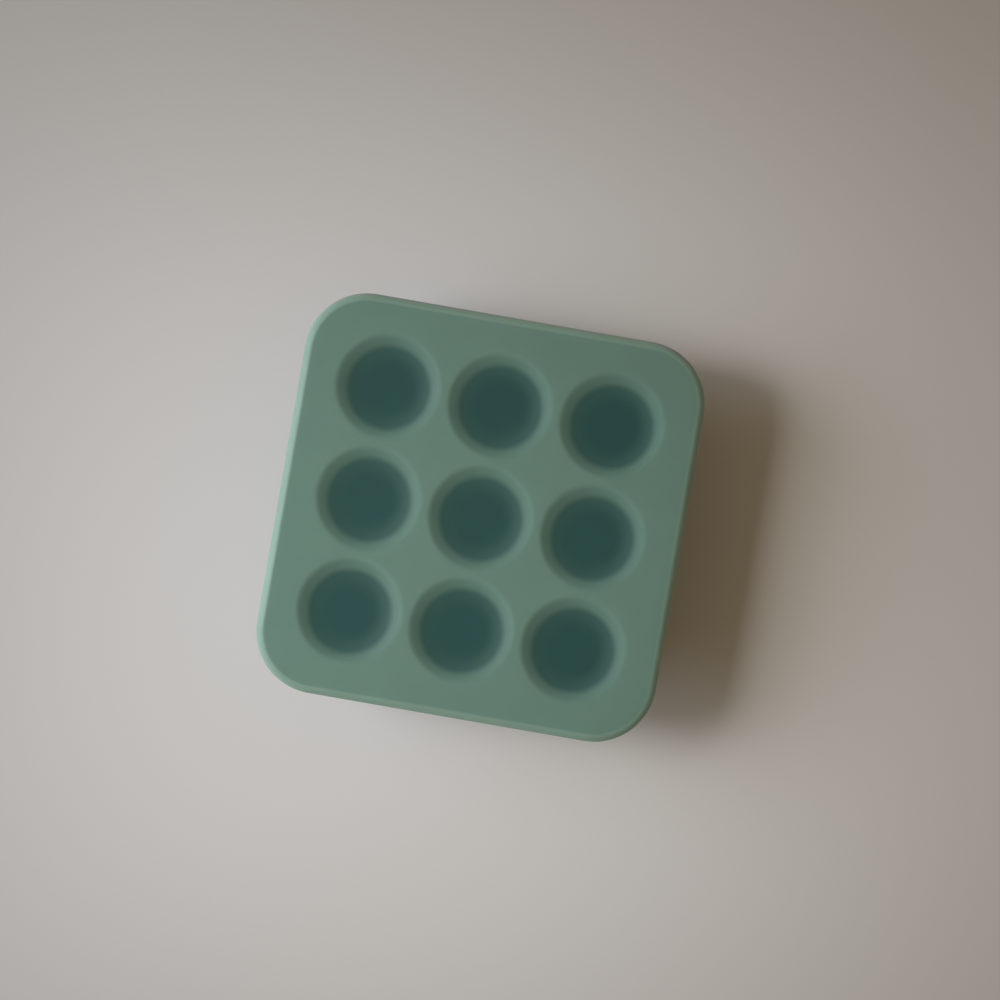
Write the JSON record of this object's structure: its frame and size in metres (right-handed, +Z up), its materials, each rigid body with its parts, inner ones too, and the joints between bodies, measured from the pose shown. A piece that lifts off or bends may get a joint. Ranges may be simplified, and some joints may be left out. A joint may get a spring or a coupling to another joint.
{
  "type": "baby food freezer tray",
  "caption": "Soft square tray of round cups in a grid, for freezing portions of baby food, with a lift-off lid whose dishes plug the cups.",
  "frame": {"origin": "centre of the base, on the plane that the cup floors stand on, below the middle cup's axis", "axes": "+Z up through the middle cup, +X and +Y along two neighbouring sides of the square"},
  "size_m": [0.155, 0.155, 0.052],
  "materials": {
    "tray_silicone": "matte",
    "lid_silicone": "matte"
  },
  "bodies": {
    "tray": {"tray": "tray_silicone"},
    "lid": {"lid": "lid_silicone"}
  },
  "joints": [
    {"name": "lid_lift", "type": "slide", "parent": "tray", "child": "lid", "axis": [0, 0, 1], "range_m": [0, 0.08]}
  ]
}
